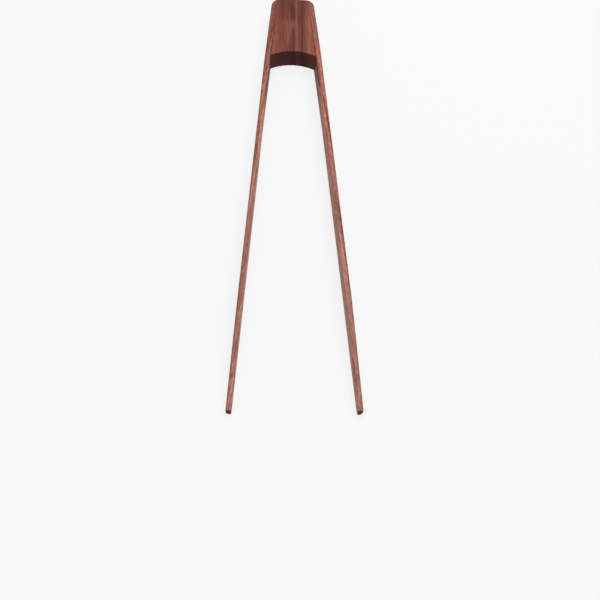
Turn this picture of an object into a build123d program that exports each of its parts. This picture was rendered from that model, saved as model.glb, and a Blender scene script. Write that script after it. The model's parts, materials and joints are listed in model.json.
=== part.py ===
from build123d import *

import os
from math import atan2, cos, sin, tan

# Wooden kitchen tongs. Two long thin strips are glued to the slanted flanks of a wedge block and
# run on past it as the legs. The legs are the spring: they bend like leaf springs and open again.
#
# Frame: the tongs lie flat on a table. +Z is up, +Y runs along the axis towards the closed end,
# the tips point to -Y and X goes across. The origin is on the table, under the middle of the
# outline. Everything is in millimetres. Left is -X.
#
# A leg bends over its whole upper half. Here it is divided at three flexure lines into rigid
# links, each turning on a round knuckle about a vertical line in the middle of the strip.

os.makedirs("parts", exist_ok=True)

# Outline
overall_length = 361.0
height = 19.0
block_length = 58.7
end_width = 35.4
mouth_width = 47.2
tip_width = 99.0
end_crown = 1.0
end_corner_radius = 7.0

# Block and glue
arch_rise = 4.1
glue_thickness = 0.15

# Strips: thickest where they leave the block, then thinned for the spring
strip_at_end = 4.4
strip_at_mouth = 5.2
strip_at_leg = 4.4
strip_at_tip = 4.2
thinning_length = 62.0

# Tips: the upper edge comes down over the last part of the leg, and turns down into the end face
tip_height = 8.4
tip_taper_length = 80.0
tip_taper_blend = 220.0
tip_nose_radius = 2.5
tip_skew = 1.1

# Edges: the free ones are well rounded by sanding, those round the hollow only eased
edge_round = 1.2
arch_round = 0.5

# Flexure lines, measured down the outer face of a leg from the mouth of the block
flexure_lines = (21.0, 65.0, 105.0)
knuckle_share = 0.8
knuckle_clearance = 0.1
shoulder_gap = 0.3

# Places worked out from the sizes above
end_y = overall_length / 2
mouth_y = end_y - block_length
tip_y = -overall_length / 2
shoulder_y = end_y - end_crown
flank_angle = atan2((mouth_width - end_width) / 2, shoulder_y - mouth_y)
leg_angle = atan2((tip_width - mouth_width) / 2, mouth_y - tip_y)
leg_length = (mouth_y - tip_y) / cos(leg_angle)
flank_length = (end_y - mouth_y) / cos(flank_angle)
margin = 20.0


def on_flank(distance, depth):
    """Point beside the block: distance up from the mouth, depth in from the outer face."""
    x = mouth_width / 2 - distance * sin(flank_angle) - depth * cos(flank_angle)
    y = mouth_y + distance * cos(flank_angle) - depth * sin(flank_angle)
    return (x, y)


def on_leg(distance, depth):
    """Point on the right leg: distance down from the mouth, depth in from the outer face."""
    x = mouth_width / 2 + distance * sin(leg_angle) - depth * cos(leg_angle)
    y = mouth_y - distance * cos(leg_angle) - depth * sin(leg_angle)
    return (x, y)


def leg_thickness(distance):
    """Thickness of a leg at a distance down from the mouth."""
    if distance < thinning_length:
        return strip_at_mouth + (strip_at_leg - strip_at_mouth) * distance / thinning_length
    share = (distance - thinning_length) / (leg_length - thinning_length)
    return strip_at_leg + (strip_at_tip - strip_at_leg) * share


def glue_line(extra_depth):
    """A line along the right glue joint, extra_depth inside the strip's inner face.

    It runs from the mouth to a margin past the closed end, where end_outline trims it.
    """
    at_mouth = on_flank(0, strip_at_mouth + extra_depth)
    at_end = on_flank(flank_length + margin, strip_at_end + extra_depth)
    return at_mouth, at_end


def across(point):
    """The same point on the other side of the axis."""
    return (-point[0], point[1])


strip_mouth, strip_end = glue_line(0)
block_mouth, block_end = glue_line(glue_thickness)

# Outline that trims the closed end: slanted flanks, a slight crown and rounded corners. Below the
# mouth it is wider than the legs, so it trims nothing there.
with BuildSketch() as end_outline:
    with BuildLine():
        Polyline(
            (end_width / 2, shoulder_y),
            (mouth_width / 2, mouth_y),
            (tip_width, mouth_y),
            (tip_width, tip_y),
            (-tip_width, tip_y),
            (-tip_width, mouth_y),
            (-mouth_width / 2, mouth_y),
            (-end_width / 2, shoulder_y),
        )
        ThreePointArc((-end_width / 2, shoulder_y), (0, end_y), (end_width / 2, shoulder_y))
    make_face()
    fillet(end_outline.vertices().group_by(Axis.Y)[-1], end_corner_radius)

# Side view of a strip: level below, with the upper edge falling away towards the tip
with BuildSketch(Plane.YZ) as side_outline:
    with BuildLine():
        Polyline(
            (end_y + margin, 0),
            (tip_y, 0),
            (tip_y, tip_height),
            (tip_y + tip_taper_length, height),
            (end_y + margin, height),
            close=True,
        )
    make_face()
    taper_start = side_outline.vertices().sort_by_distance((tip_y + tip_taper_length, height))[0]
    fillet(taper_start, tip_taper_blend)
    nose = side_outline.vertices().sort_by_distance((tip_y, tip_height))[0]
    fillet(nose, tip_nose_radius)

# Wedge block: the hollow in its mouth is a shallow arch from one strip to the other
with BuildPart() as head_block:
    with BuildSketch():
        with BuildLine():
            Polyline(block_mouth, block_end, across(block_end), across(block_mouth))
            ThreePointArc(across(block_mouth), (0, block_mouth[1] + arch_rise), block_mouth)
        make_face()
    extrude(amount=height)
    extrude(end_outline.sketch, amount=height, mode=Mode.INTERSECT)
    arcs = head_block.edges().filter_by(GeomType.CIRCLE).sort_by(Axis.Y)
    fillet(arcs[:2], arch_round)
    fillet(arcs[2:], edge_round)
head_block.part.label = "head_block"

# Glue film between the block and the right strip
with BuildPart() as right_glue_line:
    with BuildSketch():
        with BuildLine():
            Polyline(strip_mouth, strip_end, block_end, block_mouth, close=True)
        make_face()
    extrude(amount=height)
    extrude(end_outline.sketch, amount=height, mode=Mode.INTERSECT)
    film_end_y = right_glue_line.vertices().sort_by(Axis.Y)[-1].Y
    with BuildSketch(Plane.YZ) as film_side:
        with Locations(((film_end_y + mouth_y - margin) / 2, height / 2)):
            Rectangle(film_end_y - mouth_y + margin, height)
        fillet(film_side.vertices().group_by(Axis.X)[-1], edge_round)
    extrude(amount=mouth_width, mode=Mode.INTERSECT)
right_glue_line.part.label = "right_glue_line"

# One whole strip, the right one, before it is divided. The inner corner of its tip reaches
# further out than the outer corner. Every long edge is eased, apart from the two in the glue joint.
with BuildPart() as strip:
    with BuildSketch():
        with BuildLine():
            Polyline(
                on_flank(flank_length + margin, 0),
                on_flank(0, 0),
                on_leg(leg_length - tip_skew, 0),
                on_leg(leg_length - strip_at_tip * tan(leg_angle), strip_at_tip),
                on_leg(thinning_length, strip_at_leg),
                strip_mouth,
                strip_end,
                close=True,
            )
        make_face()
    extrude(amount=height)
    extrude(end_outline.sketch, amount=height, mode=Mode.INTERSECT)
    extrude(side_outline.sketch, amount=tip_width, both=True, mode=Mode.INTERSECT)
    glue_face_middle = on_flank(flank_length / 2, (strip_at_mouth + strip_at_end) / 2)
    glued = strip.faces().sort_by_distance((*glue_face_middle, height / 2))[0].edges()
    upright = strip.edges().filter_by(Axis.Z).sort_by(Axis.Y)
    crossing = strip.edges().filter_by(lambda edge: abs(edge.tangent_at(0.5).X) > 0.9)
    tip_foot = crossing.sort_by_distance((tip_width / 2, tip_y, 0))[0]
    unrounded = upright[2:] + crossing - ShapeList([tip_foot])
    fillet(strip.edges() - glued - unrounded, edge_round)


def divide(upper, lower):
    """The length of the right strip between two flexure lines, with its knuckle and its seat.

    None stands for an end of the strip.
    """
    start = -flank_length - margin if upper is None else upper
    stop = leg_length + margin if lower is None else lower - shoulder_gap
    leg_plane = Plane(
        origin=(mouth_width / 2, mouth_y, 0),
        x_dir=(sin(leg_angle), -cos(leg_angle), 0),
        z_dir=(0, 0, 1),
    )
    with BuildPart() as link:
        add(strip)
        with BuildSketch(leg_plane):
            with Locations(((start + stop) / 2, 0)):
                Rectangle(stop - start, 4 * margin)
            if upper is not None:
                thickness = leg_thickness(upper)
                with Locations((upper, -thickness / 2)):
                    Circle(knuckle_share * thickness / 2)
            if lower is not None:
                thickness = leg_thickness(lower)
                with Locations((lower, -thickness / 2)):
                    Circle(knuckle_share * thickness / 2 + knuckle_clearance, mode=Mode.SUBTRACT)
        extrude(amount=height, mode=Mode.INTERSECT)
    return link.part


export_step(head_block.part, "parts/head_block.step")
export_step(right_glue_line.part, "parts/right_glue_line.step")

left_glue_line = mirror(right_glue_line.part, about=Plane.YZ)
left_glue_line.label = "left_glue_line"
export_step(left_glue_line, "parts/left_glue_line.step")

limits = (None, *flexure_lines, None)
for place, upper, lower in zip(("root", "upper", "middle", "lower"), limits, limits[1:]):
    right_link = divide(upper, lower)
    right_link.label = f"right_strip_{place}"
    export_step(right_link, f"parts/{right_link.label}.step")
    left_link = mirror(right_link, about=Plane.YZ)
    left_link.label = f"left_strip_{place}"
    export_step(left_link, f"parts/{left_link.label}.step")

for line in flexure_lines:
    x, y = on_leg(line, leg_thickness(line) / 2)
    print(f"flexure line {line:.0f} mm below the mouth: x = +/-{x:.4f}, y = {y:.4f}")
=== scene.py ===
import json
import math

import bmesh
import bpy
from mathutils import Matrix, Vector


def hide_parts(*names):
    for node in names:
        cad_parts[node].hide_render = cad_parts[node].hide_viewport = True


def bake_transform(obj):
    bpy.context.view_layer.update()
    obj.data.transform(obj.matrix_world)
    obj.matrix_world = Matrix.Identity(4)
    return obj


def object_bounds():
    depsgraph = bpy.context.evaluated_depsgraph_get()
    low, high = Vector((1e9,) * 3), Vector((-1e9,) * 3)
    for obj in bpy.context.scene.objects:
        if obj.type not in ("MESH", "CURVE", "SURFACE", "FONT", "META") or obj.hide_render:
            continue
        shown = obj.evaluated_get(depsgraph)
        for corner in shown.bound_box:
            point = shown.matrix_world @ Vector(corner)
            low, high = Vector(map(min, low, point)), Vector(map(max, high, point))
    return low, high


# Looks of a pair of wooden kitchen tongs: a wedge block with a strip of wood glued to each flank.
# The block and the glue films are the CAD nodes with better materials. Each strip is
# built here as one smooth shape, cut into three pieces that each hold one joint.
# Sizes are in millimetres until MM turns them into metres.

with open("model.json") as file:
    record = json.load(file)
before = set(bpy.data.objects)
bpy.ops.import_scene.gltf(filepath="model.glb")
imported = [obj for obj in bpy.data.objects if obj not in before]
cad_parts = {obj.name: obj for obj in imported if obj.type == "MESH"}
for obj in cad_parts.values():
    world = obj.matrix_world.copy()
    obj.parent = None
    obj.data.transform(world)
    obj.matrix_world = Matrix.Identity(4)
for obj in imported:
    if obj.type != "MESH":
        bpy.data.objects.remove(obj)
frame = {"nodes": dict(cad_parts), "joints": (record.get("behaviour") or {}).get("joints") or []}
cad_low, cad_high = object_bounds()

MM = 0.001

# Sizes, the same as in the CAD model
END_Y = 180.5
HEIGHT = 19.0
BLOCK_LENGTH = 58.7
END_WIDTH = 35.4
MOUTH_WIDTH = 47.2
TIP_WIDTH = 99.0
END_CROWN = 1.0
END_CORNER_RADIUS = 7.0
STRIP_AT_END = 4.4
STRIP_AT_MOUTH = 5.2
STRIP_AT_LEG = 4.4
STRIP_AT_TIP = 4.2
THINNING_LENGTH = 62.0
END_MARGIN = 20.0
TIP_HEIGHT = 8.4
TIP_TAPER_LENGTH = 80.0
TIP_TAPER_BLEND = 220.0
TIP_NOSE_RADIUS = 2.5
TIP_SKEW = 1.1
EDGE_ROUND = 1.2

# Floor and light, in metres and watts. The sky is even low down, and higher up it is brighter on
# the right. It changes between two heights, given as sines of the angle above the horizon.
FLOOR_RADIUS = 15.0
FLOOR_GLOW = 0.80
FLOOR_SHADES = (0.115, 0.125)
FLOOR_DROP = 0.00005
SKY_COLOUR = (1.0, 0.99, 0.985, 1.0)
SKY_LEFT = 0.62
SKY_RIGHT = 0.86
SKY_LOW = 0.88
SKY_EVEN_BELOW = 0.02
SKY_SIDED_ABOVE = 0.3
SOFTBOX_PLACE = (0.2, 0.35, 1.35)
SOFTBOX_SIZE = 1.2
KEY_POWER = 13.5

# Camera, in metres apart from the sensor and the lens, which are in millimetres
CAMERA_PLACE = Vector((-0.0312, -0.3215, 0.5806))
CAMERA_AIM = Vector((0.0049, -0.0909, 0.0))
CAMERA_ROLL = math.radians(0.53)
SENSOR_WIDTH = 36.0
LENS = 49.32

# Lightness across the block, from its left edge to its right
BLOCK_BANDS = ((-18, 0.64), (-15, 0.56), (-12, 0.49), (-9, 0.36), (-7.4, 0.50), (-4.5, 0.57), (-1.5, 0.53),
               (0.5, 0.50), (3.0, 0.62), (5.2, 0.36), (7.5, 0.16), (9.3, 0.31), (10.5, 0.46), (12.2, 0.62),
               (14.3, 0.78), (16.5, 0.70), (19, 0.74))

# Each strip's board: which part of the noise its grain is taken from, its lightness, and how much
# lighter painted light makes its inner face away from the block
STRIP_BOARDS = {"left": (-67.0, 0.415, 0.2), "right": (34.0, 0.485, 0.0)}

# Grain: how fast it wanders per mm, and how strong the streaks are
WANDER_ACROSS = 0.05
WANDER_ALONG = 0.012
STREAK_ROUGHNESS = 0.55
STREAK_GAIN = 1.5
BLOCK_LEAN = 0.12

# Surface of the oiled wood
WOOD_ROUGHNESS = 0.5
OIL_IOR = 1.48
BUMP_STRENGTH = 0.35
BUMP_DISTANCE = 0.00008

# How finely the strips are divided. The rings are closer together in the last NOSE_LENGTH of a leg,
# and they stop NOSE_GAP short of the tip's rounded corners.
ROUND_STEPS = 5
CORNER_STEPS = 10
CORNER_SPACING = 0.2
TIP_STEPS = 6
NOSE_STEPS = 8
NOSE_LENGTH = 4.0
NOSE_GAP = 0.05
STATION_PITCH = 3.0
EASING_LENGTH = 5.0
SHARP_ANGLE = math.radians(40)
MERGE_DISTANCE = 1e-7
SLIVER_LENGTH = 1e-8

# Places worked out from the sizes
MOUTH_Y = END_Y - BLOCK_LENGTH
TIP_Y = -END_Y
SHOULDER_Y = END_Y - END_CROWN
FLANK_ANGLE = math.atan2((MOUTH_WIDTH - END_WIDTH) / 2, SHOULDER_Y - MOUTH_Y)
LEG_ANGLE = math.atan2((TIP_WIDTH - MOUTH_WIDTH) / 2, MOUTH_Y - TIP_Y)
FLANK_LENGTH = BLOCK_LENGTH / math.cos(FLANK_ANGLE)
LEG_LENGTH = (MOUTH_Y - TIP_Y) / math.cos(LEG_ANGLE)


# ---------------------------------------------------------------------------- shape of a strip
def on_flank(distance, depth):
    """Point beside the block: distance up from the mouth, depth in from the outer face."""
    x = MOUTH_WIDTH / 2 - distance * math.sin(FLANK_ANGLE) - depth * math.cos(FLANK_ANGLE)
    y = MOUTH_Y + distance * math.cos(FLANK_ANGLE) - depth * math.sin(FLANK_ANGLE)
    return Vector((x, y))


def on_leg(distance, depth):
    """Point on the right leg: distance down from the mouth, depth in from the outer face."""
    x = MOUTH_WIDTH / 2 + distance * math.sin(LEG_ANGLE) - depth * math.cos(LEG_ANGLE)
    y = MOUTH_Y - distance * math.cos(LEG_ANGLE) - depth * math.sin(LEG_ANGLE)
    return Vector((x, y))


def leg_thickness(distance):
    if distance < THINNING_LENGTH:
        return STRIP_AT_MOUTH + (STRIP_AT_LEG - STRIP_AT_MOUTH) * distance / THINNING_LENGTH
    share = (distance - THINNING_LENGTH) / (LEG_LENGTH - THINNING_LENGTH)
    return STRIP_AT_LEG + (STRIP_AT_TIP - STRIP_AT_LEG) * share


def top_height(y):
    """Height of the strip's upper edge: level, then falling in a smooth curve to the tip."""
    slope = math.atan2(HEIGHT - TIP_HEIGHT, TIP_TAPER_LENGTH)
    blend_start = TIP_Y + TIP_TAPER_LENGTH + TIP_TAPER_BLEND * math.tan(slope / 2)
    past = blend_start - y
    if past <= 0:
        return HEIGHT
    if past < TIP_TAPER_BLEND * math.sin(slope):
        return HEIGHT - TIP_TAPER_BLEND + math.sqrt(TIP_TAPER_BLEND**2 - past**2)
    before_nose = y - TIP_Y - TIP_NOSE_RADIUS
    nose_centre = TIP_HEIGHT - TIP_NOSE_RADIUS * math.tan(math.pi / 4 - slope / 2)
    if before_nose < -TIP_NOSE_RADIUS * math.sin(slope):
        return nose_centre + math.sqrt(TIP_NOSE_RADIUS**2 - min(abs(before_nose), TIP_NOSE_RADIUS) ** 2)
    return TIP_HEIGHT + (y - TIP_Y) * math.tan(slope)


def glue_line():
    """Where the strip's inner face meets the glue: a point at the mouth and the way to the end."""
    start = on_flank(0, STRIP_AT_MOUTH)
    way = on_flank(FLANK_LENGTH + END_MARGIN, STRIP_AT_END) - start
    return start, way.normalized()


def meet_glue_line(y):
    start, way = glue_line()
    return start + way * ((y - start.y) / way.y)


def end_corner_centre():
    """Centre of the rounded outer corner: it touches the flank and the crowned end."""
    crown_radius = ((END_WIDTH / 2) ** 2 + END_CROWN**2) / (2 * END_CROWN)
    crown_centre = Vector((0, END_Y - crown_radius))
    start = on_flank(0, END_CORNER_RADIUS)
    way = (on_flank(1, END_CORNER_RADIUS) - start).normalized()
    reach = crown_radius - END_CORNER_RADIUS
    half = (start - crown_centre).dot(way)
    return start + way * (math.sqrt(half**2 + reach**2 - (start - crown_centre).length_squared) - half)


def circle_meets_glue_line(centre, radius):
    start, way = glue_line()
    half = (start - centre).dot(way)
    return start + way * (math.sqrt(half**2 + radius**2 - (start - centre).length_squared) - half)


def turned(angle):
    return Vector((math.cos(angle), math.sin(angle)))


def corner_between(before, corner, after, radius):
    """Centre, first angle and last angle of an arc that rounds a corner of the outline."""
    back = (before - corner).normalized()
    ahead = (after - corner).normalized()
    half = math.acos(back.dot(ahead)) / 2
    centre = corner + (back + ahead).normalized() * (radius / math.sin(half))
    first = corner + back * (radius / math.tan(half)) - centre
    last = corner + ahead * (radius / math.tan(half)) - centre
    return centre, math.atan2(first.y, first.x), math.atan2(last.y, last.x)


def nearest_turn(first, last):
    """The same last angle, less than half a turn from the first."""
    while last - first > math.pi:
        last -= 2 * math.pi
    while last - first < -math.pi:
        last += 2 * math.pi
    return last


def rounding_levels():
    """(rise, inset) pairs round an eased edge, from the rim of the flat face to the side face."""
    levels = []
    for step in range(ROUND_STEPS + 1):
        turn = math.pi / 2 * step / ROUND_STEPS
        levels.append((EDGE_ROUND * (1 - math.cos(turn)), EDGE_ROUND * (1 - math.sin(turn))))
    return levels


def above_floor(point, rise):
    return Vector((point.x, point.y, rise))


def below_top(point, drop):
    return Vector((point.x, point.y, top_height(point.y) - drop))


def ring(outer, inner):
    """A closed loop of points round the strip, up its outer side and down its inner side.

    outer and inner give each side's point in plan for an inset.
    """
    levels = rounding_levels()
    points = [above_floor(outer(inset), rise) for rise, inset in levels]
    points += [below_top(outer(inset), rise) for rise, inset in reversed(levels)]
    points += [below_top(inner(inset), rise) for rise, inset in levels]
    points += [above_floor(inner(inset), rise) for rise, inset in reversed(levels)]
    return points


def end_rings():
    """The closed end: round the outer corner until it runs out on the glue line."""
    centre = end_corner_centre()
    first = FLANK_ANGLE
    arc_end = circle_meets_glue_line(centre, END_CORNER_RADIUS) - centre
    last = math.atan2(arc_end.y, arc_end.x)
    rings = [ring(lambda inset: circle_meets_glue_line(centre, END_CORNER_RADIUS - inset),
                  lambda inset: circle_meets_glue_line(centre, END_CORNER_RADIUS - inset))]
    for step in reversed(range(CORNER_STEPS)):
        angle = first + (last - first) * step / CORNER_STEPS
        flat_rim = centre + turned(angle) * (END_CORNER_RADIUS - EDGE_ROUND)
        beside = meet_glue_line(min(flat_rim.y, rings[0][0].y - CORNER_SPACING * (CORNER_STEPS - step)))
        rings.append(ring(lambda inset: centre + turned(angle) * (END_CORNER_RADIUS - inset),
                          lambda inset: beside))
    return rings


def flank_rings():
    """Beside the block: the inner edges stay sharp, because they are in the glue joint."""
    top = (end_corner_centre() - on_flank(0, END_CORNER_RADIUS)).length
    count = round(top / STATION_PITCH)
    rings = []
    for step in reversed(range(count)):
        distance = top * step / count
        beside = meet_glue_line(on_flank(distance, STRIP_AT_MOUTH).y)
        rings.append(ring(lambda inset: on_flank(distance, inset), lambda inset: beside))
    return rings


def leg_ring(distance):
    """Across a free leg. The inner edges are eased from nothing at the mouth to the full rounding."""
    share = min(1.0, distance / EASING_LENGTH)
    thickness = leg_thickness(distance)
    return ring(lambda inset: on_leg(distance, inset),
                lambda inset: on_leg(distance, thickness - inset * share))


def leg_rings(start, stop):
    """Rings down the free leg. start and stop are distances down from the mouth."""
    count = max(1, round((stop - start) / STATION_PITCH))
    return [leg_ring(start + (stop - start) * step / count) for step in range(count + 1)]


def tip_corners():
    outer = on_leg(LEG_LENGTH - TIP_SKEW, 0)
    inner = on_leg(LEG_LENGTH - STRIP_AT_TIP * math.tan(LEG_ANGLE), STRIP_AT_TIP)
    outer_arc = corner_between(on_leg(0, 0), outer, inner, EDGE_ROUND)
    inner_line = on_leg(THINNING_LENGTH, STRIP_AT_LEG)
    inner_arc = corner_between(inner_line, inner, outer, EDGE_ROUND)
    return outer_arc, inner_arc


def tip_rings():
    """The tip: both corners are rounded, and the last ring closes on the end face."""
    (out_centre, out_first, out_last), (in_centre, in_first, in_last) = tip_corners()
    out_last = nearest_turn(out_first, out_last)
    in_last = nearest_turn(in_first, in_last)
    rings = []
    for step in range(TIP_STEPS + 1):
        share = step / TIP_STEPS
        out_way = turned(out_first + (out_last - out_first) * share)
        in_way = turned(in_first + (in_last - in_first) * share)
        rings.append(ring(lambda inset: out_centre + out_way * (EDGE_ROUND - inset),
                          lambda inset: in_centre + in_way * (EDGE_ROUND - inset)))
    return rings


def nose_rings():
    """The last of the leg before the tip's corners, where the upper edge turns down."""
    outer_arc, _ = tip_corners()
    corner = outer_arc[0] - on_leg(0, 0)
    start = LEG_LENGTH - NOSE_LENGTH
    stop = corner.dot(on_leg(1, 0) - on_leg(0, 0)) - NOSE_GAP
    return [leg_ring(start + (stop - start) * step / NOSE_STEPS) for step in range(NOSE_STEPS + 1)]


def grain_place(point):
    """Where a point lies in its own board: across from the outer face, along the grain, up."""
    origin = Vector((MOUTH_WIDTH / 2, MOUTH_Y))
    flat = Vector((point.x, point.y)) - origin
    if point.y > MOUTH_Y:
        across = Vector((-math.cos(FLANK_ANGLE), -math.sin(FLANK_ANGLE)))
        along = Vector((math.sin(FLANK_ANGLE), -math.cos(FLANK_ANGLE)))
    else:
        across = Vector((-math.cos(LEG_ANGLE), -math.sin(LEG_ANGLE)))
        along = Vector((math.sin(LEG_ANGLE), -math.cos(LEG_ANGLE)))
    return Vector((flat.dot(across), flat.dot(along), point.z))


def build_strip(name, side, rings, starts_at_glue_line, material):
    """A closed mesh through the rings. side is 1 on the right and -1 on the left.

    A piece that starts where the rounded corner runs out on the glue line needs no face there.
    """
    mesh = bpy.data.meshes.new(name)
    work = bmesh.new()
    loops = []
    places = work.verts.layers.float_vector.new("grain")
    for points in rings:
        loop = []
        for point in points:
            vert = work.verts.new((side * point.x * MM, point.y * MM, point.z * MM))
            vert[places] = grain_place(point)
            loop.append(vert)
        loops.append(loop)
    size = len(loops[0])
    for near, far in zip(loops, loops[1:]):
        for k in range(size):
            after = (k + 1) % size
            work.faces.new((near[k], near[after], far[after], far[k]))
    ends = [loops[-1]] if starts_at_glue_line else [loops[0], loops[-1]]
    for loop in ends:
        for k in range(size // 2 - 1):
            work.faces.new((loop[k], loop[k + 1], loop[size - 2 - k], loop[size - 1 - k]))
    bmesh.ops.remove_doubles(work, verts=work.verts, dist=MERGE_DISTANCE)
    bmesh.ops.dissolve_degenerate(work, edges=work.edges, dist=SLIVER_LENGTH)
    bmesh.ops.recalc_face_normals(work, faces=work.faces)
    for face in work.faces:
        face.smooth = True
    for edge in work.edges:
        if len(edge.link_faces) == 2 and edge.calc_face_angle() > SHARP_ANGLE:
            edge.smooth = False
    work.to_mesh(mesh)
    work.free()
    piece = bpy.data.objects.new(name, mesh)
    bpy.context.scene.collection.objects.link(piece)
    mesh.materials.append(material)
    weighted = piece.modifiers.new("even shading", "WEIGHTED_NORMAL")
    weighted.keep_sharp = True
    return piece


# ---------------------------------------------------------------------------- materials
class Shader:
    """Short calls for building one material's nodes."""

    def __init__(self, name):
        self.material = bpy.data.materials.new(name)
        self.material.use_nodes = True
        self.tree = self.material.node_tree
        self.tree.nodes.clear()
        self.output = self.node("ShaderNodeOutputMaterial")
        self.surface = self.node("ShaderNodeBsdfPrincipled")
        self.tree.links.new(self.surface.outputs["BSDF"], self.output.inputs["Surface"])

    def node(self, kind, **settings):
        made = self.tree.nodes.new(kind)
        for key, value in settings.items():
            setattr(made, key, value)
        return made

    def feed(self, socket, value):
        if isinstance(value, bpy.types.NodeSocket):
            self.tree.links.new(value, socket)
        else:
            socket.default_value = value

    def math(self, operation, a, b=0.0, c=0.0, clamp=False):
        made = self.node("ShaderNodeMath", operation=operation, use_clamp=clamp)
        for socket, value in zip(made.inputs, (a, b, c)):
            self.feed(socket, value)
        return made.outputs[0]

    def times(self, a, b):
        return self.math("MULTIPLY", a, b)

    def plus(self, base, feature, amount):
        """base, changed by amount where feature is 1."""
        return self.math("MULTIPLY_ADD", feature, amount, base)

    def combine(self, x, y, z):
        made = self.node("ShaderNodeCombineXYZ")
        for socket, value in zip(made.inputs, (x, y, z)):
            self.feed(socket, value)
        return made.outputs[0]

    def separate(self, vector):
        made = self.node("ShaderNodeSeparateXYZ")
        self.feed(made.inputs[0], vector)
        return made.outputs

    def noise(self, vector, detail=2.0, roughness=0.5):
        made = self.node("ShaderNodeTexNoise")
        self.feed(made.inputs["Vector"], vector)
        made.inputs["Scale"].default_value = 1.0
        made.inputs["Detail"].default_value = detail
        made.inputs["Roughness"].default_value = roughness
        return made.outputs[0]

    def ease(self, value, low, high, start=0.0, stop=1.0):
        """A smooth step of value from start at low to stop at high."""
        made = self.node("ShaderNodeMapRange", interpolation_type="SMOOTHSTEP")
        for socket, given in zip(made.inputs, (value, low, high, start, stop)):
            self.feed(socket, given)
        return made.outputs[0]

    def window(self, value, low, high, soft):
        """1 between low and high, fading to 0 outside them."""
        rise = self.ease(value, low - soft, low + soft)
        return self.math("MULTIPLY", rise, self.ease(value, high + soft, high - soft))

    def curve(self, value, points):
        """A smooth curve through (place, height) points."""
        low, high = points[0][0], points[-1][0]
        share = self.math("MULTIPLY_ADD", value, 1 / (high - low), -low / (high - low))
        stops = [((place - low) / (high - low), (height, height, height)) for place, height in points]
        grey = self.ramp(share, stops)
        grey.node.color_ramp.interpolation = "EASE"
        return grey

    def ramp(self, value, stops):
        made = self.node("ShaderNodeValToRGB")
        self.feed(made.inputs[0], value)
        elements = made.color_ramp.elements
        while len(elements) < len(stops):
            elements.new(0.5)
        for element, (place, colour) in zip(elements, stops):
            element.position = place
            element.color = (*colour, 1.0)
        return made.outputs[0]

    def mix(self, share, a, b):
        made = self.node("ShaderNodeMix", data_type="RGBA")
        # Sockets 6 and 7 take the two colours, and output 2 is the mixed colour
        self.feed(made.inputs["Factor"], share)
        self.feed(made.inputs[6], a)
        self.feed(made.inputs[7], b)
        return made.outputs[2]


def srgb(red, green, blue):
    """A colour given as 0 to 255 on screen, as the linear numbers that a shader takes."""
    linear = []
    for value in (red, green, blue):
        share = value / 255
        linear.append(share / 12.92 if share <= 0.04045 else ((share + 0.055) / 1.055) ** 2.4)
    return tuple(linear)


BLOCK_PALETTE = ((0.0, srgb(76, 35, 29)), (0.35, srgb(104, 56, 45)), (0.6, srgb(124, 69, 54)),
                 (1.0, srgb(147, 88, 67)))
STRIP_PALETTE = ((0.0, srgb(88, 44, 36)), (0.35, srgb(138, 84, 69)), (0.65, srgb(168, 112, 93)),
                 (1.0, srgb(208, 150, 122)))
END_PALETTE = ((0.0, srgb(50, 25, 26)), (0.5, srgb(72, 38, 37)), (1.0, srgb(98, 56, 50)))
# Pore colour, also mixed into the strips' outer edges as painted shade and wear
PORE_AND_PAINTED_SHADE = (*srgb(52, 26, 22), 1.0)
# Painted light: the pale grey-pink that the strips fade to towards the tip
PAINTED_PALE_LIGHT = (*srgb(165, 130, 128), 1.0)
GLUE_PALETTE = ((0.3, srgb(62, 32, 26)), (0.7, srgb(96, 56, 42)))


def place_from_grain(shader):
    """The strips carry their grain in an attribute, so that it follows them round every bend."""
    return shader.node("ShaderNodeAttribute", attribute_name="grain").outputs["Vector"]


def place_from_object(shader):
    """The block lies square in its own frame, so object coordinates are its grain coordinates."""
    made = shader.node("ShaderNodeVectorMath", operation="SCALE")
    shader.feed(made.inputs[0], shader.node("ShaderNodeTexCoord").outputs["Object"])
    made.inputs["Scale"].default_value = 1 / MM
    return made.outputs[0]


class Board:
    """One board: its grain coordinates in mm, and streaks that follow them.

    The grain wanders by up to half of wander, and runs out by slope sideways and by rise upwards.
    """

    def __init__(self, shader, place, offset, wander, slope=0.0, rise=0.0):
        self.shader = shader
        self.depth, self.along, up = shader.separate(place)
        slow = shader.combine(shader.plus(offset, self.depth, WANDER_ACROSS),
                              shader.times(self.along, WANDER_ALONG),
                              shader.times(up, WANDER_ACROSS))
        drift = shader.times(shader.math("SUBTRACT", shader.noise(slow), 0.5), wander)
        drift = shader.plus(drift, self.along, slope)
        self.across = shader.math("ADD", self.depth, drift)
        self.up = shader.plus(up, self.along, rise)
        self.offset = offset

    def streaks(self, width, length, depth, detail=2.0):
        """Noise stretched along the grain, from about -1 to 1."""
        shader = self.shader
        vector = shader.combine(shader.plus(self.offset, self.across, 1 / width),
                                shader.math("DIVIDE", self.along, length),
                                shader.math("DIVIDE", self.up, depth))
        noise = shader.noise(vector, detail=detail, roughness=STREAK_ROUGHNESS)
        return shader.math("MULTIPLY_ADD", noise, 2 * STREAK_GAIN, -STREAK_GAIN)


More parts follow.
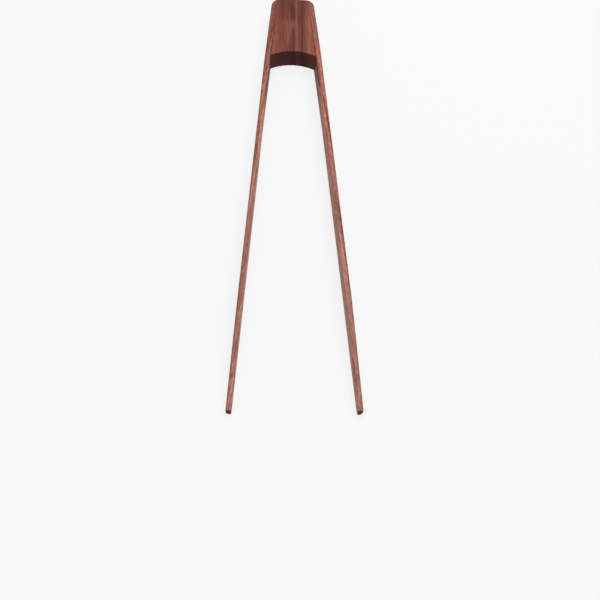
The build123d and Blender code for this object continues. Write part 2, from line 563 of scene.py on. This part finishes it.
def block_tone(board):
    """Lightness of the block's figure: bands along the grain and dark flames in the middle."""
    shader = board.shader
    # The figure leans a little through the depth of the block
    x = shader.plus(shader.math("ADD", board.across, -BLOCK_LEAN * HEIGHT), board.up, BLOCK_LEAN)
    y = board.along
    tone = shader.curve(x, BLOCK_BANDS)

    # A broad flame at the closed end, with a darker heart
    broad = shader.window(x, low=-9.5, high=1.9, soft=0.9)
    broad = shader.times(broad, shader.ease(y, low=MOUTH_Y + 33.0, high=MOUTH_Y + 38.5))
    tone = shader.plus(tone, broad, amount=-0.17)
    heart = shader.times(shader.window(x, low=-1.4, high=1.9, soft=0.7),
                         shader.window(y, low=MOUTH_Y + 35.5, high=MOUTH_Y + 51.0, soft=2.5))
    tone = shader.plus(tone, heart, amount=-0.24)

    # The lower flame opens from a point towards the mouth
    below_point = shader.math("SUBTRACT", MOUTH_Y + 28.0, y)
    past_left_side = shader.plus(shader.math("ADD", x, 0.8), below_point, amount=0.24)
    lower = shader.times(shader.ease(past_left_side, low=-0.9, high=2.2),
                         shader.ease(x, low=2.3, high=1.0))
    lower = shader.times(lower, shader.ease(below_point, low=-0.5, high=2.5))
    tone = shader.plus(tone, lower, amount=-0.31)

    # Oil has soaked in deeper towards the closed end
    deeper = shader.ease(y, low=MOUTH_Y + 30.0, high=MOUTH_Y + 58.0)
    tone = shader.plus(tone, deeper, amount=-0.13)
    tone = shader.plus(tone, board.streaks(width=5.0, length=60.0, depth=9.0), amount=0.07)
    tone = shader.plus(tone, board.streaks(width=0.9, length=30.0, depth=3.0, detail=3.0), amount=0.32)
    return shader.plus(tone, board.streaks(width=0.8, length=7.0, depth=2.0), amount=0.16)


def strip_tone(board, light, inner_painted_light):
    """Lightness of a strip: long streaks and short flecks, calmer and darker beside the block."""
    shader = board.shader
    tone = shader.ease(board.along, low=-30.0, high=40.0, start=light - 0.16, stop=light)
    # Painted shade: the inner face is darker next to the hollow between the legs, where little light gets
    # in
    hollow_painted_shade = shader.times(shader.ease(board.depth, low=4.1, high=4.8),
                          shader.ease(board.along, low=60.0, high=5.0))
    tone = shader.plus(tone, hollow_painted_shade, amount=-0.45)
    # Painted light: the inner face is made lighter away from the block, where light falls on it
    inner = shader.times(shader.ease(board.depth, low=3.95, high=4.25),
                         shader.ease(board.along, low=20.0, high=80.0))
    tone = shader.plus(tone, inner, amount=inner_painted_light)
    figure = shader.times(board.streaks(width=3.0, length=220.0, depth=3.5), 0.38)
    figure = shader.plus(figure, board.streaks(width=1.1, length=100.0, depth=1.2, detail=3.0), amount=0.48)
    figure = shader.plus(figure, board.streaks(width=0.9, length=5.0, depth=0.7), amount=0.38)
    strength = shader.ease(board.along, low=-45.0, high=30.0, start=0.45)
    return shader.math("MULTIPLY_ADD", figure, strength, tone)


def oiled_wood(shader, board, tone, colour, sheen):
    """Oiled dark hardwood: pores and fibres over the given figure, and darker end grain."""
    fibres = board.streaks(width=0.28, length=9.0, depth=0.5)
    pores = board.streaks(width=0.16, length=2.6, depth=0.22, detail=1.0)
    pores = shader.ease(pores, low=0.35, high=0.65)
    colour = shader.mix(shader.math("MULTIPLY_ADD", fibres, 0.07, 0.07, clamp=True), colour, PORE_AND_PAINTED_SHADE)
    colour = shader.mix(shader.times(pores, 0.4), colour, PORE_AND_PAINTED_SHADE)

    # Where the grain comes out at an end, the wood drinks more oil: it is dark and dull there
    normal = shader.separate(shader.node("ShaderNodeTexCoord").outputs["Normal"])
    end = shader.ease(shader.math("ABSOLUTE", normal[1]), low=0.45, high=0.85)
    dots = board.streaks(width=0.5, length=400.0, depth=0.5, detail=3.0)
    end_colour = shader.ramp(shader.plus(tone, dots, amount=0.35), END_PALETTE)
    shader.feed(shader.surface.inputs["Base Color"], shader.mix(end, colour, end_colour))

    rough = shader.plus(WOOD_ROUGHNESS, fibres, amount=0.05)
    rough = shader.plus(rough, pores, amount=0.2)
    shader.feed(shader.surface.inputs["Roughness"], shader.plus(rough, end, amount=0.3))
    shader.surface.inputs["Specular IOR Level"].default_value = sheen
    shader.surface.inputs["IOR"].default_value = OIL_IOR
    bump = shader.node("ShaderNodeBump")
    bump.inputs["Strength"].default_value = BUMP_STRENGTH
    bump.inputs["Distance"].default_value = BUMP_DISTANCE
    shader.feed(bump.inputs["Height"], shader.math("SUBTRACT", shader.times(fibres, 0.3), pores))
    shader.feed(shader.surface.inputs["Normal"], bump.outputs["Normal"])
    return shader.material


def block_wood():
    shader = Shader("block_wood")
    board = Board(shader, place_from_object(shader), offset=3.0, wander=1.6)
    tone = block_tone(board)
    return oiled_wood(shader, board, tone, shader.ramp(tone, BLOCK_PALETTE), sheen=0.12)


def strip_wood(side_name):
    """Each strip is cut from its own board. Painted light pales it towards the tip."""
    offset, light, inner_painted_light = STRIP_BOARDS[side_name]
    shader = Shader(f"{side_name}_strip_wood")
    board = Board(shader, place_from_grain(shader), offset, wander=5.0, slope=0.05, rise=0.02)
    tone = strip_tone(board, light, inner_painted_light)
    # Painted light: the strip grows paler and greyer towards the tip
    pale_painted_light = shader.ease(board.along, low=0.0, high=240.0, stop=0.2)
    colour = shader.mix(pale_painted_light, shader.ramp(tone, STRIP_PALETTE), PAINTED_PALE_LIGHT)
    # The outer edges and faces are darker: partly painted shade, partly wear from hands
    wear_and_painted_shade = shader.ease(board.depth, low=1.5, high=0.2, stop=0.3)
    colour = shader.mix(wear_and_painted_shade, colour, PORE_AND_PAINTED_SHADE)
    return oiled_wood(shader, board, tone, colour, sheen=0.08)


def dried_glue():
    shader = Shader("dried_glue")
    speckle = shader.noise(place_from_object(shader))
    colour = shader.ramp(speckle, GLUE_PALETTE)
    shader.feed(shader.surface.inputs["Base Color"], colour)
    shader.surface.inputs["Roughness"].default_value = 0.6
    return shader.material


def pale_floor():
    """A sheet of white lit evenly from behind, so that it takes only a little shadow."""
    shader = Shader("pale_floor")
    soft = shader.noise(place_from_object(shader), detail=1.0)
    colour = shader.ramp(soft, [(place, (shade,) * 3) for place, shade in enumerate(FLOOR_SHADES)])
    shader.feed(shader.surface.inputs["Base Color"], colour)
    shader.surface.inputs["Roughness"].default_value = 0.9
    shader.surface.inputs["Specular IOR Level"].default_value = 0.0
    shader.surface.inputs["Emission Color"].default_value = (1.0, 1.0, 1.0, 1.0)
    shader.surface.inputs["Emission Strength"].default_value = FLOOR_GLOW
    return shader.material


# ---------------------------------------------------------------------------- the tongs
def dress_cad_nodes():
    block = block_wood()
    glue = dried_glue()
    for node in ("head_block", "left_glue_line", "right_glue_line"):
        slots = frame["nodes"][node].data.materials
        slots.clear()
        slots.append(block if node == "head_block" else glue)


def hinge_distances(side_name):
    """How far down the leg each flexure line is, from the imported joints."""
    distances = []
    for joint in frame["joints"]:
        if joint["child"].startswith(side_name):
            x, y, _ = joint["pos_m"]
            flat = Vector((abs(x) / MM - MOUTH_WIDTH / 2, y / MM - MOUTH_Y))
            distances.append(flat.dot(Vector((math.sin(LEG_ANGLE), -math.cos(LEG_ANGLE)))))
    return distances


def make_strip(side_name, side):
    """One strip as three pieces of visible wood, each round one flexure line."""
    material = strip_wood(side_name)
    hinges = hinge_distances(side_name)
    cuts = [(a + b) / 2 for a, b in zip(hinges, hinges[1:])]
    # The reach round each flexure line: equally far to both sides of it, and inside its piece
    bends = [min(h - a, b - h) for h, a, b in zip(hinges, (0.0, *cuts), (*cuts, LEG_LENGTH))]
    # Name, CAD nodes replaced, rings, and the bodies before and after the flexure line
    sections = (
        ("glued_and_upper", ("root", "upper"),
         end_rings() + flank_rings() + leg_rings(0, cuts[0])[1:],
         "head", f"{side_name}_upper"),
        ("middle", ("middle",),
         leg_rings(cuts[0], cuts[1]),
         f"{side_name}_upper", f"{side_name}_middle"),
        ("lower", ("lower",),
         leg_rings(cuts[1], LEG_LENGTH - NOSE_LENGTH)[:-1] + nose_rings() + tip_rings(),
         f"{side_name}_middle", f"{side_name}_lower"),
    )
    for hinge, bend, (part, links, rings, before, after) in zip(hinges, bends, sections):
        starts_at_glue_line = part == "glued_and_upper"
        piece = build_strip(f"{side_name}_strip_{part}_wood", side, rings, starts_at_glue_line, material)
        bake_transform(piece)
        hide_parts(*[f"{side_name}_strip_{link}" for link in links])


# ---------------------------------------------------------------------------- floor, light, camera
def make_floor():
    mesh = bpy.data.meshes.new("floor")
    work = bmesh.new()
    bmesh.ops.create_circle(work, cap_ends=True, segments=96, radius=FLOOR_RADIUS)
    work.to_mesh(mesh)
    work.free()
    floor = bpy.data.objects.new("floor", mesh)
    floor.location.z = cad_low.z - FLOOR_DROP
    bpy.context.scene.collection.objects.link(floor)
    mesh.materials.append(pale_floor())


def make_light():
    make_sky()
    key = bpy.data.lights.new("softbox", "AREA")
    key.shape = "DISK"
    key.size = SOFTBOX_SIZE
    key.energy = KEY_POWER
    softbox = bpy.data.objects.new("softbox", key)
    softbox.location = SOFTBOX_PLACE
    softbox.rotation_mode = "QUATERNION"
    softbox.rotation_quaternion = (-softbox.location).to_track_quat("-Z", "Y")
    bpy.context.scene.collection.objects.link(softbox)
    bpy.context.scene.view_settings.view_transform = "Standard"


def make_sky():
    world = bpy.data.worlds.new("studio")
    world.use_nodes = True
    tree = world.node_tree
    background = tree.nodes["Background"]
    background.inputs["Color"].default_value = SKY_COLOUR
    direction = tree.nodes.new("ShaderNodeSeparateXYZ")
    tree.links.new(tree.nodes.new("ShaderNodeTexCoord").outputs["Generated"], direction.inputs[0])
    sides = tree.nodes.new("ShaderNodeMapRange")
    sides.inputs["From Min"].default_value = -1.0
    sides.inputs["To Min"].default_value = SKY_LEFT
    sides.inputs["To Max"].default_value = SKY_RIGHT
    height = tree.nodes.new("ShaderNodeMapRange")
    height.interpolation_type = "SMOOTHSTEP"
    height.inputs["From Min"].default_value = SKY_EVEN_BELOW
    height.inputs["From Max"].default_value = SKY_SIDED_ABOVE
    height.inputs["To Min"].default_value = SKY_LOW
    tree.links.new(direction.outputs["X"], sides.inputs["Value"])
    tree.links.new(direction.outputs["Z"], height.inputs["Value"])
    tree.links.new(sides.outputs[0], height.inputs["To Max"])
    tree.links.new(height.outputs[0], background.inputs["Strength"])
    bpy.context.scene.world = world


def make_camera():
    """The camera looks down steeply, from the tips' side and a little from the left."""
    forward = (CAMERA_AIM - CAMERA_PLACE).normalized()
    right = forward.cross(Vector((0, 1, 0))).normalized()
    up = right.cross(forward)
    matrix = Matrix((right, up, -forward)).transposed().to_4x4()
    matrix = Matrix.Rotation(CAMERA_ROLL, 4, forward) @ matrix
    camera = bpy.data.cameras.new("camera")
    camera.sensor_width = SENSOR_WIDTH
    camera.lens = LENS
    seen = bpy.data.objects.new("camera", camera)
    seen.matrix_world = Matrix.Translation(CAMERA_PLACE) @ matrix
    bpy.context.scene.collection.objects.link(seen)
    bpy.context.scene.camera = seen


dress_cad_nodes()
make_strip("left", -1)
make_strip("right", 1)
make_floor()
make_light()
make_camera()
